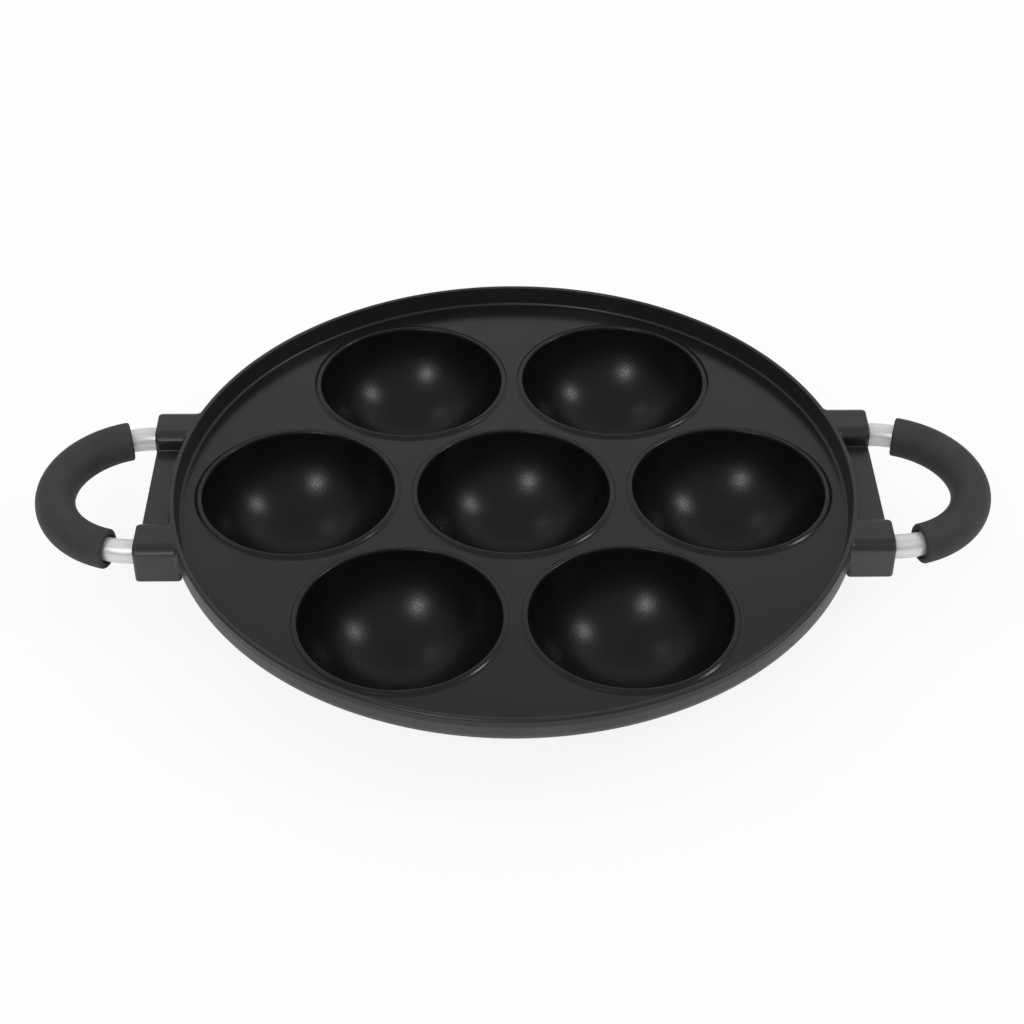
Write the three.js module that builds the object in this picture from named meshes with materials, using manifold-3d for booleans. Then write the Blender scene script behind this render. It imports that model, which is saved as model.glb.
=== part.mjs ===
import * as THREE from 'three';
import { mergeVertices } from 'three/addons/utils/BufferGeometryUtils.js';
import Module from 'manifold-3d';

// A cast pan for making takoyaki on a hob: seven round wells set in a flat plate inside a raised rim,
// with two lugs and a bridge cast on each side. A steel bow with a soft sleeve is held in each pair of lugs.
// Sizes are in millimetres and +Z is up. The origin is under the middle well, where the pan stands.

const wasm = await Module();
wasm.setup();

// Wells: a ring of bowls round a middle one, each with a flat foot and a raised bead round its opening
const wellsInRing = 6;
const wellRadius = 33.6;
const wellDepth = 28;
const wellGap = 8.3;
const wellWall = 2.4;
const wellFloor = 2.6;
const footRadius = 10;
const beadHeight = 0.9;
const beadWidth = 2.7;
const beadRound = 1.7;
const wellEdge = 1;

// Plate and rim: the rim leans outwards on both faces, and its outer bottom corner is well rounded
const plateThickness = 2.7;
const rimShoulder = 7.75;
const rimHeight = 7.15;
const rimDraft = 0.8;
const lipWidth = 1.95;
const lipRound = 1;
const rimFlare = 0.4;
const rimCorner = 4.5;
const rimFillet = 1.2;

// Handle bow: a round bar bent to a half circle, with a straight leg in each lug
const rodRadius = 4.15;
const bowRadius = 31.15;
const bowStart = 0.95;
const fitGap = 0.3;

// Lugs and bridge: the long top edges of a lug are well rounded, and its other edges less
const lugWall = 3.85;
const lugRoof = 2.75;
const lugFloor = 2.45;
const lugReach = 8.3;
const lugTail = 7.5;
const lugCorner = 2.2;
const lugTopRound = 3.8;
const lugLowRound = 1.5;
const lugEndEdge = 0.8;
const boreBack = 1.4;
const bridgeDrop = 6.2;
const bridgeSetback = 0.3;
const bridgeCorner = 1;
const bridgeEdge = 0.5;

// Soft sleeve on the bow
const sleeveWall = 2.5;
const sleeveLength = 80.5;
const sleeveRound = 1.6;

// Locking screw: it goes up through the lug's floor, and its plain point enters a seat in the bar
const screwRadius = 2;
const screwRecess = 0.4;
const pointRadius = 1.25;
const pointLength = 1.95;
const socketWidth = 2;
const socketDepth = 1.5;

// How far a cutter runs past what it cuts
const overrun = 2;

// Facets round each kind of piece
const panSides = 72;
const wellSides = 32;
const rodSides = 16;
const rodSteps = 32;
const sleeveSteps = 20;
const boreSides = 16;
const screwSides = 20;

// Heights, from the feet up
const wellFloorZ = wellFloor;
const beadTopZ = wellFloorZ + wellDepth;
const plateZ = beadTopZ - beadHeight;
const plateUnderZ = plateZ - plateThickness;
const plateMiddleZ = (plateZ + plateUnderZ) / 2;
const rimTopZ = plateZ + rimHeight;

// The ball that a well is part of: it meets the opening and the well's floor
const ballRadius = (wellRadius ** 2 + wellDepth ** 2) / (2 * wellDepth);
const ballZ = wellFloorZ + ballRadius;

// Radii of the pan, from the wells outwards
const wellPitch = 2 * wellRadius + wellGap;
const rimFootRadius = wellPitch + wellRadius + rimShoulder;
const lipInnerRadius = rimFootRadius + rimDraft;
const lipOuterRadius = lipInnerRadius + lipWidth;
const panRadius = lipOuterRadius + rimFlare;

// Lugs, bores and the bar's places
const boreRadius = rodRadius + fitGap;
const lugHalfWidth = boreRadius + lugWall;
const rodZ = rimTopZ - lugRoof - boreRadius;
const lugBottomZ = rodZ - boreRadius - lugFloor;
const lugEndX = panRadius + lugReach;
const lugTailX = panRadius - lugTail;
const boreInnerY = bowRadius - boreRadius;
const boreEndX = Math.sqrt(lipInnerRadius ** 2 - boreInnerY ** 2) + boreBack;
const rodEndX = boreEndX + fitGap;
const bowCentreX = lugEndX + bowStart;
const legLength = bowCentreX - rodEndX;
const quarterBow = bowRadius * Math.PI / 2;
const screwX = (boreEndX + lugEndX) / 2;
const screwTopZ = rodZ - rodRadius - fitGap;
const pointTopZ = screwTopZ + pointLength;
const screwHoleRadius = screwRadius + fitGap;
const seatRadius = pointRadius + fitGap;

// A closed geometry as a solid that can be joined and cut
function solid(geometry) {
  const bare = geometry.clone();
  bare.deleteAttribute('normal');
  bare.deleteAttribute('uv');
  const merged = mergeVertices(bare);
  const triVerts = [];
  for (let i = 0; i < merged.index.count; i += 3) {
    const [a, b, c] = [0, 1, 2].map((corner) => merged.index.getX(i + corner));
    if (a !== b && b !== c && c !== a) triVerts.push(a, b, c);
  }
  return new wasm.Manifold(new wasm.Mesh({
    numProp: 3,
    vertProperties: new Float32Array(merged.attributes.position.array),
    triVerts: new Uint32Array(triVerts),
  }));
}

function geometryOf(body) {
  const mesh = body.getMesh();
  const geometry = new THREE.BufferGeometry();
  geometry.setAttribute('position', new THREE.BufferAttribute(mesh.vertProperties, 3));
  geometry.setIndex(new THREE.BufferAttribute(mesh.triVerts, 1));
  geometry.computeVertexNormals();
  return geometry;
}

// Points on a quarter or other part of an ellipse, first and last included
function arc(centreX, centreY, radiusX, radiusY, from, to, steps) {
  return Array.from({ length: steps + 1 }, (_, i) => {
    const angle = from + (to - from) * i / steps;
    return new THREE.Vector2(centreX + radiusX * Math.cos(angle), centreY + radiusY * Math.sin(angle));
  });
}

// A profile of radius and height, turned about the Z axis
function turned(profile, sides) {
  return new THREE.LatheGeometry(profile, sides).rotateX(Math.PI / 2);
}

// A round bar or hole along Z between two heights
function upright(radius, lowZ, highZ, sides) {
  return new THREE.CylinderGeometry(radius, radius, highZ - lowZ, sides)
    .rotateX(Math.PI / 2)
    .translate(0, 0, (lowZ + highZ) / 2);
}

// Plate and rim as one turned ring, from the middle of the underside outwards and back over the plate
function plateProfile() {
  const cornerX = panRadius - rimCorner;
  const cornerZ = plateUnderZ + rimCorner;
  const quarter = Math.PI / 2;
  return [
    new THREE.Vector2(0, plateUnderZ),
    ...arc(cornerX, cornerZ, rimCorner, rimCorner, -quarter, 0, 3),
    ...arc(lipOuterRadius - lipRound, rimTopZ - lipRound, lipRound, lipRound, 0, quarter, 2),
    new THREE.Vector2(lipInnerRadius, rimTopZ),
    ...arc(rimFootRadius - rimFillet, plateZ + rimFillet, rimFillet, rimFillet, 0, -quarter, 3),
    new THREE.Vector2(0, plateZ),
  ];
}

// A bowl's outside from its flat foot up through the plate, with the bead on top
function wellBodyProfile() {
  const outerRadius = ballRadius + wellWall;
  const from = -Math.acos(footRadius / outerRadius);
  const to = Math.asin((plateUnderZ - ballZ) / outerRadius);
  const beadFootRadius = wellRadius + beadWidth;
  return [
    new THREE.Vector2(0, 0),
    new THREE.Vector2(footRadius, 0),
    ...arc(0, ballZ, outerRadius, outerRadius, from, to, 4),
    new THREE.Vector2(outerRadius * Math.cos(to), plateMiddleZ),
    new THREE.Vector2(beadFootRadius, plateMiddleZ),
    ...arc(beadFootRadius - beadRound, plateZ, beadRound, beadHeight, 0, Math.PI / 2, 2),
    new THREE.Vector2(0, beadTopZ),
  ];
}

// The bowl's inside, with the edge broken at the bead
function wellHollowProfile() {
  const rimAngle = Math.asin((beadTopZ - wellEdge - ballZ) / ballRadius);
  return [
    ...arc(0, ballZ, ballRadius, ballRadius, -Math.PI / 2, rimAngle, 5),
    new THREE.Vector2(wellRadius + wellEdge, beadTopZ),
    new THREE.Vector2(wellRadius + wellEdge, beadTopZ + overrun),
    new THREE.Vector2(0, beadTopZ + overrun),
  ];
}

function roundedRectangle(lowX, highX, lowY, highY, lowRound, highRound) {
  const outline = new THREE.Shape();
  outline.absarc(highX - lowRound, lowY + lowRound, lowRound, -Math.PI / 2, 0);
  outline.absarc(highX - highRound, highY - highRound, highRound, 0, Math.PI / 2);
  outline.absarc(lowX + highRound, highY - highRound, highRound, Math.PI / 2, Math.PI);
  outline.absarc(lowX + lowRound, lowY + lowRound, lowRound, Math.PI, Math.PI * 3 / 2);
  return outline;
}

// A flat block with its top and bottom edges bevelled
function block(outline, lowZ, highZ, edge) {
  return new THREE.ExtrudeGeometry(outline, {
    depth: highZ - lowZ - 2 * edge,
    curveSegments: 2,
    bevelThickness: edge,
    bevelSize: edge,
    bevelOffset: -edge,
    bevelSegments: 1,
  }).translate(0, 0, lowZ + edge);
}

// A lug is what a block with rounded corners and a bar along X with rounded edges have in common
function lug(middleY) {
  const lowY = middleY - lugHalfWidth;
  const highY = middleY + lugHalfWidth;
  const outline = roundedRectangle(lugTailX, lugEndX, lowY, highY, lugCorner, lugCorner);
  const section = roundedRectangle(lowY, highY, lugBottomZ, rimTopZ, lugLowRound, lugTopRound);
  const bar = new THREE.ExtrudeGeometry(section, {
    depth: lugEndX - lugTailX + 2 * overrun,
    curveSegments: 4,
    bevelEnabled: false,
  });
  const alongX = new THREE.Matrix4().makeBasis(
    new THREE.Vector3(0, 1, 0),
    new THREE.Vector3(0, 0, 1),
    new THREE.Vector3(1, 0, 0),
  );
  bar.applyMatrix4(alongX).translate(lugTailX - overrun, 0, 0);
  return solid(block(outline, lugBottomZ, rimTopZ, lugEndEdge)).intersect(solid(bar));
}

function bridge() {
  const endX = lugEndX - bridgeSetback;
  const outline = roundedRectangle(lugTailX, endX, -bowRadius, bowRadius, bridgeCorner, bridgeCorner);
  return solid(block(outline, plateUnderZ, rimTopZ - bridgeDrop, bridgeEdge));
}

// Two lugs and their bridge, as far in as the middle of the rim's wall
function sideCasting() {
  const tray = upright(lipInnerRadius + lipWidth / 2, plateMiddleZ, rimTopZ + overrun, panSides);
  return bridge().add(lug(bowRadius)).add(lug(-bowRadius)).subtract(solid(tray));
}

// A bore for one leg of the bar, and the screw's hole from below
function legHoles(middleY) {
  const boreLength = lugEndX + overrun - boreEndX;
  const bore = new THREE.CylinderGeometry(boreRadius, boreRadius, boreLength, boreSides)
    .rotateZ(Math.PI / 2)
    .translate(boreEndX + boreLength / 2, middleY, rodZ);
  const screwHole = upright(screwHoleRadius, lugBottomZ - overrun, rodZ, boreSides)
    .translate(screwX, middleY, 0);
  return solid(bore).add(solid(screwHole));
}

function wellPlaces() {
  const places = [[0, 0]];
  for (let i = 0; i < wellsInRing; i += 1) {
    const angle = 2 * Math.PI * i / wellsInRing;
    places.push([wellPitch * Math.cos(angle), wellPitch * Math.sin(angle)]);
  }
  return places;
}

function halfTurned(body) {
  return solid(geometryOf(body).rotateZ(Math.PI));
}

function panGeometry() {
  let pan = solid(turned(plateProfile(), panSides));
  const wellBody = turned(wellBodyProfile(), wellSides);
  const wellHollow = turned(wellHollowProfile(), wellSides);
  for (const [x, y] of wellPlaces()) {
    pan = pan.add(solid(wellBody.clone().translate(x, y, 0)));
  }
  const side = sideCasting();
  pan = pan.add(side).add(halfTurned(side));
  for (const [x, y] of wellPlaces()) {
    pan = pan.subtract(solid(wellHollow.clone().translate(x, y, 0)));
  }
  const holes = legHoles(bowRadius).add(legHoles(-bowRadius));
  return geometryOf(pan.subtract(holes).subtract(halfTurned(holes)));
}

// A place on the bow's middle line, by its distance from the outermost point, and the way out of the bow
function bowPlace(distance) {
  if (Math.abs(distance) <= quarterBow) {
    const angle = distance / bowRadius;
    const outwards = new THREE.Vector2(Math.cos(angle), Math.sin(angle));
    return { x: bowCentreX + bowRadius * outwards.x, y: bowRadius * outwards.y, outwards };
  }
  const side = Math.sign(distance);
  const x = bowCentreX - (Math.abs(distance) - quarterBow);
  return { x, y: side * bowRadius, outwards: new THREE.Vector2(0, side) };
}

class BowLine extends THREE.Curve {
  getPoint(share) {
    const { x, y } = bowPlace((2 * share - 1) * (quarterBow + legLength));
    return new THREE.Vector3(x, y, rodZ);
  }
}

function rodGeometry() {
  const section = new THREE.Shape();
  section.absarc(0, 0, rodRadius, 0, 2 * Math.PI);
  const bar = new THREE.ExtrudeGeometry(section, {
    extrudePath: new BowLine(),
    steps: rodSteps,
    curveSegments: rodSides / 2,
    bevelEnabled: false,
  });
  let rod = solid(bar);
  for (const side of [1, -1]) {
    const seat = upright(seatRadius, screwTopZ - overrun, pointTopZ + fitGap, boreSides);
    rod = rod.subtract(solid(seat.translate(screwX, side * bowRadius, 0)));
  }
  return geometryOf(rod);
}

// The sleeve is turned as a straight tube with rounded ends, then bent round the bow
function sleeveGeometry() {
  const half = sleeveLength / 2;
  const outerRadius = boreRadius + sleeveWall;
  const straight = half - sleeveRound;
  const quarter = Math.PI / 2;
  const stations = Array.from({ length: sleeveSteps + 1 }, (_, i) => straight * (2 * i / sleeveSteps - 1));
  const roundX = outerRadius - sleeveRound;
  const profile = [
    ...arc(roundX, -straight, sleeveRound, sleeveRound, -quarter, 0, 3).slice(0, -1),
    ...stations.map((y) => new THREE.Vector2(outerRadius, y)),
    ...arc(roundX, straight, sleeveRound, sleeveRound, 0, quarter, 3).slice(1),
    new THREE.Vector2(boreRadius, half),
    ...stations.slice(1, -1).reverse().map((y) => new THREE.Vector2(boreRadius, y)),
    new THREE.Vector2(boreRadius, -half),
  ];
  profile.push(profile[0].clone());
  const geometry = new THREE.LatheGeometry(profile, rodSides);
  const position = geometry.attributes.position;
  for (let i = 0; i < position.count; i += 1) {
    const { x, y, outwards } = bowPlace(position.getY(i));
    const offset = position.getX(i);
    position.setXYZ(i, x + offset * outwards.x, y + offset * outwards.y, rodZ + position.getZ(i));
  }
  return geometryOf(solid(geometry));
}

function screwGeometry() {
  const lowZ = lugBottomZ + screwRecess;
  const profile = [
    new THREE.Vector2(0, lowZ),
    new THREE.Vector2(screwRadius, lowZ),
    new THREE.Vector2(screwRadius, screwTopZ),
    new THREE.Vector2(pointRadius, screwTopZ),
    new THREE.Vector2(pointRadius, pointTopZ),
    new THREE.Vector2(0, pointTopZ),
  ];
  const socket = upright(socketWidth / Math.sqrt(3), lowZ - overrun, lowZ + socketDepth, 6);
  return geometryOf(solid(turned(profile, screwSides)).subtract(solid(socket)));
}

function piece(name, geometry, color, roughness, metalness) {
  const mesh = new THREE.Mesh(geometry, new THREE.MeshStandardMaterial({ color, roughness, metalness }));
  mesh.name = name;
  return mesh;
}

const takoyakiPan = new THREE.Group();
takoyakiPan.add(piece('pan_casting', panGeometry(), 0x303032, 0.5, 0));

for (const side of ['right', 'left']) {
  const handle = new THREE.Group();
  handle.rotation.z = side === 'left' ? Math.PI : 0;
  handle.add(piece(`handle_rod_${side}`, rodGeometry(), 0xd2d2d2, 0.35, 1));
  handle.add(piece(`grip_sleeve_${side}`, sleeveGeometry(), 0x3c3c3e, 0.85, 0));
  for (const end of [1, -1]) {
    const isBack = (end === 1) === (side === 'right');
    const screw = piece(`locking_screw_${side}_${isBack ? 'back' : 'front'}`, screwGeometry(), 0x8a8a8c, 0.4, 1);
    screw.position.set(screwX, end * bowRadius, 0);
    handle.add(screw);
  }
  takoyakiPan.add(handle);
}

export default takoyakiPan;
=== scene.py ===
# A cast pan for making takoyaki on a hob: seven round wells in a flat plate inside a raised rim, with
# a bent steel bar and a soft sleeve as a handle on each side. Sizes are in metres, +Z is up, and the pan
# stands on the floor at height 0. Left and right are as the cook sees them.

import math

import bmesh
import bpy
from mathutils import Matrix, Vector


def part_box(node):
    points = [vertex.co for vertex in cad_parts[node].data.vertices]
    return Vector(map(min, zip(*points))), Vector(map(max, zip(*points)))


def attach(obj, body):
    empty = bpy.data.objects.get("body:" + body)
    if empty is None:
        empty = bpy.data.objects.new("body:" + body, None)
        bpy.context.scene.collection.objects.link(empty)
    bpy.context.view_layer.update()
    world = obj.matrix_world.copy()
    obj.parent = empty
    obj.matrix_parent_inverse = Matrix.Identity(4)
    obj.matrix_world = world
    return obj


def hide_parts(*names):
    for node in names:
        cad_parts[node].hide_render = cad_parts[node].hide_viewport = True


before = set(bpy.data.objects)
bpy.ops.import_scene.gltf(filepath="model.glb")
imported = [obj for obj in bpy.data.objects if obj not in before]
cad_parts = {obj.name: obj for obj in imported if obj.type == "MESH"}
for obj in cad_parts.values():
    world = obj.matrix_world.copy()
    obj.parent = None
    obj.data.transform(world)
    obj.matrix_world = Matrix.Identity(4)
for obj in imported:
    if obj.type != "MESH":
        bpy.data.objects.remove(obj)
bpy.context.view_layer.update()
scene = bpy.context.scene


# Pan casting, plate and rim. One die casting in aluminium, coated all over: a flat plate whose rim leans
# outwards, with a small fillet inside, a rounded lip and a well rounded corner underneath.

_, PAN_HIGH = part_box("pan_casting")
PAN_RADIUS = PAN_HIGH.y
RIM_TOP = PAN_HIGH.z
RIM_HEIGHT = 0.00715
RIM_FLARE = 0.0004
RIM_CORNER = 0.0045
RIM_FOOT_RADIUS = 0.11685
RIM_FILLET = 0.0012
LIP_OUTER_RADIUS = PAN_RADIUS - RIM_FLARE
LIP_WIDTH = 0.00195
LIP_INNER_RADIUS = LIP_OUTER_RADIUS - LIP_WIDTH
LIP_ROUND = 0.001
LIP_INNER_ROUND = 0.0005
SMOOTH_BAND = 0.0027
SMOOTH_BAND_END = RIM_TOP - SMOOTH_BAND
BAND_STEP = 0.00002
PLATE_TOP = RIM_TOP - RIM_HEIGHT
PLATE_THICKNESS = 0.0027
PLATE_UNDER = PLATE_TOP - PLATE_THICKNESS
PLATE_MIDDLE = PLATE_TOP - PLATE_THICKNESS / 2
RIM_SIDES = 216
RIM_CORNER_STEPS = 14
LIP_STEPS = 8
LIP_INNER_STEPS = 5
RIM_FILLET_STEPS = 8
FULL_TURN = 2 * math.pi
QUARTER = math.pi / 2


def arc(centre_x, centre_y, radius_x, radius_y, start, end, steps):
    """Points on part of an ellipse, both ends included."""
    angles = [start + (end - start) * i / steps for i in range(steps + 1)]
    return [(centre_x + radius_x * math.cos(a), centre_y + radius_y * math.sin(a)) for a in angles]


def lofted(rings):
    """A closed shape through rings of points, capped at both ends. A ring of one point is a pole."""
    shape = bmesh.new()
    loops = [[shape.verts.new(point) for point in ring] for ring in rings]
    sides = max(len(loop) for loop in loops)
    for low, high in zip(loops, loops[1:]):
        for i in range(sides):
            j = (i + 1) % sides
            corners = (low[i % len(low)], low[j % len(low)], high[j % len(high)], high[i % len(high)])
            shape.faces.new(list(dict.fromkeys(corners)))
    for loop in (loops[0], loops[-1]):
        if len(loop) > 1:
            shape.faces.new(loop)
    bmesh.ops.recalc_face_normals(shape, faces=shape.faces)
    return shape


def turned(profile, sides):
    """A profile of (radius, height) that starts and ends on the axis, turned about Z."""
    angles = [FULL_TURN * i / sides for i in range(sides)]
    return lofted([
        [(r * math.cos(a), r * math.sin(a), z) for a in angles] if r > 0 else [(0, 0, z)]
        for r, z in profile
    ])


def gathered(shapes):
    """Several shapes that don't touch, as one."""
    everything = bmesh.new()
    for shape in shapes:
        mesh = bpy.data.meshes.new("gathered")
        shape.to_mesh(mesh)
        shape.free()
        everything.from_mesh(mesh)
        bpy.data.meshes.remove(mesh)
    return everything


def as_object(name, shape):
    mesh = bpy.data.meshes.new(name)
    shape.to_mesh(mesh)
    shape.free()
    piece = bpy.data.objects.new(name, mesh)
    scene.collection.objects.link(piece)
    return piece


def keep_modifiers(piece):
    """The piece's mesh becomes what its modifiers make of it."""
    bpy.context.view_layer.update()
    evaluated = piece.evaluated_get(bpy.context.evaluated_depsgraph_get())
    mesh = bpy.data.meshes.new_from_object(evaluated)
    mesh.materials.clear()
    piece.modifiers.clear()
    piece.data = mesh


def join_or_cut(piece, operation, shape):
    """Joins the shape to the piece with UNION, or cuts it away with DIFFERENCE."""
    tool = as_object("tool", shape)
    step = piece.modifiers.new(operation, "BOOLEAN")
    step.operation = operation
    step.solver = "MANIFOLD"
    step.object = tool
    keep_modifiers(piece)
    bpy.data.objects.remove(tool)


def rim_outer_radius(z):
    """The outside of the rim at a height: rounded corner, leaning wall, rounded lip."""
    corner_z = PLATE_UNDER + RIM_CORNER
    lip_z = RIM_TOP - LIP_ROUND
    if z < corner_z:
        return PAN_RADIUS - RIM_CORNER + math.sqrt(max(RIM_CORNER ** 2 - (corner_z - z) ** 2, 0))
    if z < lip_z:
        return PAN_RADIUS - RIM_FLARE * (z - corner_z) / (lip_z - corner_z)
    return LIP_OUTER_RADIUS - LIP_ROUND + math.sqrt(max(LIP_ROUND ** 2 - (z - lip_z) ** 2, 0))


plate_profile = [
    (0, PLATE_UNDER),
    *arc(PAN_RADIUS - RIM_CORNER, PLATE_UNDER + RIM_CORNER, RIM_CORNER, RIM_CORNER, -QUARTER, 0,
         RIM_CORNER_STEPS),
    (rim_outer_radius(SMOOTH_BAND_END) + BAND_STEP, SMOOTH_BAND_END),
    *arc(LIP_OUTER_RADIUS - LIP_ROUND, RIM_TOP - LIP_ROUND, LIP_ROUND, LIP_ROUND, 0, QUARTER, LIP_STEPS),
    *arc(LIP_INNER_RADIUS + LIP_INNER_ROUND, RIM_TOP - LIP_INNER_ROUND,
         LIP_INNER_ROUND, LIP_INNER_ROUND, QUARTER, 2 * QUARTER, LIP_INNER_STEPS),
    *arc(RIM_FOOT_RADIUS - RIM_FILLET, PLATE_TOP + RIM_FILLET, RIM_FILLET, RIM_FILLET, 0, -QUARTER,
         RIM_FILLET_STEPS),
    (0, PLATE_TOP),
]
pan = as_object("coated_pan", turned(plate_profile, RIM_SIDES))


# Pan casting, wells. Seven bowls, six in a ring round one in the middle. Each is nearly half a ball, of
# even thickness, with a flat foot that the pan stands on and a low raised bead round its opening.

WELLS_IN_RING = 6
WELL_PITCH = 0.0755
WELL_RADIUS = 0.0336
WELL_DEPTH = 0.028
WELL_EDGE = 0.0009
WELL_WALL = 0.0024
BEAD_HEIGHT = 0.0009
BEAD_TOP = PLATE_TOP + BEAD_HEIGHT
BEAD_CROWN_OFFSET = 0.00095
BEAD_CROWN_RADIUS = WELL_RADIUS + BEAD_CROWN_OFFSET
BEAD_SLOPE_WIDTH = 0.0023
BEAD_FOOT_RADIUS = BEAD_CROWN_RADIUS + BEAD_SLOPE_WIDTH
FOOT_RADIUS = 0.010
FOOT_ROUND = 0.0005
FOOT_FILLET = 0.0005
BOWL_FILLET = 0.001
WELL_SIDES = 96
FOOT_STEPS = 4
BOWL_STEPS = 26
BOWL_FILLET_STEPS = 6
BEAD_STEPS = 6
WELL_STEPS = 34
WELL_EDGE_STEPS = 8
OVERRUN = 0.002

well_floor = BEAD_TOP - WELL_DEPTH
well_ball = (WELL_RADIUS ** 2 + WELL_DEPTH ** 2) / (2 * WELL_DEPTH)
well_centre = well_floor + well_ball
bowl_ball = well_ball + WELL_WALL

foot_fillet_drop = math.sqrt((bowl_ball + FOOT_FILLET) ** 2 - (FOOT_RADIUS + FOOT_FILLET) ** 2)
bowl_start = math.atan2(-foot_fillet_drop, FOOT_RADIUS + FOOT_FILLET)
fillet_drop = well_centre - PLATE_UNDER + BOWL_FILLET
fillet_radius = math.sqrt((bowl_ball + BOWL_FILLET) ** 2 - fillet_drop ** 2)
bowl_end = math.atan2(-fillet_drop, fillet_radius)
slope_angle = 2 * math.atan2(BEAD_HEIGHT, BEAD_SLOPE_WIDTH)
slope_round = BEAD_SLOPE_WIDTH / (2 * math.sin(slope_angle))
bowl_profile = [
    (0, 0),
    *arc(FOOT_RADIUS - FOOT_ROUND, FOOT_ROUND, FOOT_ROUND, FOOT_ROUND, -QUARTER, 0, FOOT_STEPS),
    *arc(FOOT_RADIUS + FOOT_FILLET, well_centre - foot_fillet_drop, FOOT_FILLET, FOOT_FILLET,
         2 * QUARTER, bowl_start + 2 * QUARTER, FOOT_STEPS),
    *arc(0, well_centre, bowl_ball, bowl_ball, bowl_start, bowl_end, BOWL_STEPS)[1:],
    *arc(fillet_radius, PLATE_UNDER - BOWL_FILLET, BOWL_FILLET, BOWL_FILLET,
         bowl_end + 2 * QUARTER, QUARTER, BOWL_FILLET_STEPS)[1:],
    (fillet_radius, PLATE_MIDDLE),
    (BEAD_FOOT_RADIUS, PLATE_MIDDLE),
    *arc(BEAD_FOOT_RADIUS, PLATE_TOP + slope_round, slope_round, slope_round,
         3 * QUARTER, 3 * QUARTER - slope_angle, BEAD_STEPS),
    *arc(BEAD_CROWN_RADIUS, BEAD_TOP - slope_round, slope_round, slope_round,
         QUARTER - slope_angle, QUARTER, BEAD_STEPS)[1:],
    (0, BEAD_TOP),
]

well_end = math.asin((BEAD_TOP - WELL_EDGE - well_centre) / well_ball)
well_profile = [
    (0, well_floor),
    *arc(0, well_centre, well_ball, well_ball, -QUARTER, well_end, WELL_STEPS)[1:],
    *arc(WELL_RADIUS + WELL_EDGE, BEAD_TOP - WELL_EDGE, WELL_EDGE, WELL_EDGE, 2 * QUARTER, QUARTER,
         WELL_EDGE_STEPS)[1:],
    (WELL_RADIUS + WELL_EDGE, BEAD_TOP + OVERRUN),
    (0, BEAD_TOP + OVERRUN),
]
well_places = [(0, 0)] + [
    (x, y) for x, y in arc(0, 0, WELL_PITCH, WELL_PITCH, 0, FULL_TURN, WELLS_IN_RING)[:-1]
]


def at_each_well(profile):
    shapes = []
    for x, y in well_places:
        shape = turned(profile, WELL_SIDES)
        bmesh.ops.translate(shape, verts=shape.verts, vec=(x, y, 0))
        shapes.append(shape)
    return gathered(shapes)


join_or_cut(pan, "UNION", at_each_well(bowl_profile))


# Pan casting, lugs and bridges. On each side two lugs hold the handle's bar, and a lower bridge joins
# them. They are cast with the pan, flush with its lip, with well rounded top edges and a fillet at the rim.

LUG_MIDDLE_Y = 0.03115
LUG_HALF_WIDTH = 0.0083
LUG_END = PAN_HIGH.x
LUG_TAIL = 0.1125
LUG_HEIGHT = 0.0141
LUG_BOTTOM = RIM_TOP - LUG_HEIGHT
LUG_CORNER = 0.0014
LUG_CROWN_RADIUS = 0.0053
LUG_CROWN_TURN = math.radians(50)
LUG_TOP_ROUND = 0.0018
LUG_END_EDGE = 0.0008
LUG_LOWER_EDGE = 0.0010
OUTER_FILLET = 0.0022
INNER_FILLET = 0.0009
UNDER_FILLET = 0.0012
UNDER_FILLET_END_RADIUS = 0.1165
UNDER_FILLET_FADE = 0.003
BRIDGE_DROP = 0.0062
BRIDGE_TOP = RIM_TOP - BRIDGE_DROP
BRIDGE_SETBACK = 0.0003
BRIDGE_END = LUG_END - BRIDGE_SETBACK
BRIDGE_EDGE = 0.0006
BRIDGE_FILLET = 0.0007
RIM_WALL_MIDDLE = (LIP_INNER_RADIUS + LIP_INNER_ROUND + LIP_OUTER_RADIUS - LIP_ROUND) / 2
PLATE_INSIDE = 0.113
SKIN = 0.00002
FILLET_STEPS = 6
OUTER_FILLET_STEPS = 8
CORNER_STEPS = 6
EDGE_STEPS = 5
LOWER_EDGE_STEPS = 6
TOP_ROUND_STEPS = 8
CROWN_STEPS = 12
RIM_WALL_STEPS = 10
INSIDE_STEPS = 20
CORNER_LEVELS = 4
WALL_SHARES = (0.4, 0.6, 0.8, 1)

fillet_turns = [QUARTER * i / FILLET_STEPS for i in range(FILLET_STEPS + 1)]


def rounded_edge(z, radius, upwards, steps):
    """Heights and insets of a rounded edge, from the wall to the flat face at height z."""
    towards_wall = -1 if upwards else 1
    turns = [QUARTER * i / steps for i in range(steps + 1)]
    return [(z + towards_wall * radius * (1 - math.sin(a)), radius * (1 - math.cos(a))) for a in turns]


def inside_arc(z, end_angle):
    """The hidden inner side of a side shape. It stays out of the tray at every height."""
    radius = PLATE_INSIDE if z < PLATE_TOP - SKIN else RIM_WALL_MIDDLE
    return arc(0, 0, radius, radius, -end_angle, end_angle, INSIDE_STEPS)


crown_drop = LUG_CROWN_RADIUS * (1 - math.cos(LUG_CROWN_TURN))
crown_width = LUG_CROWN_RADIUS * math.sin(LUG_CROWN_TURN)
round_drop = LUG_TOP_ROUND * math.cos(LUG_CROWN_TURN)
round_width = LUG_TOP_ROUND * (1 - math.sin(LUG_CROWN_TURN))
LUG_SHOULDER = RIM_TOP - crown_drop - round_drop


def inset_at(z, top, radius):
    """How far a rounded top edge draws a wall in at a height."""
    rise = max(z - (top - radius), 0)
    return radius - math.sqrt(max(radius ** 2 - rise ** 2, 0))


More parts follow.
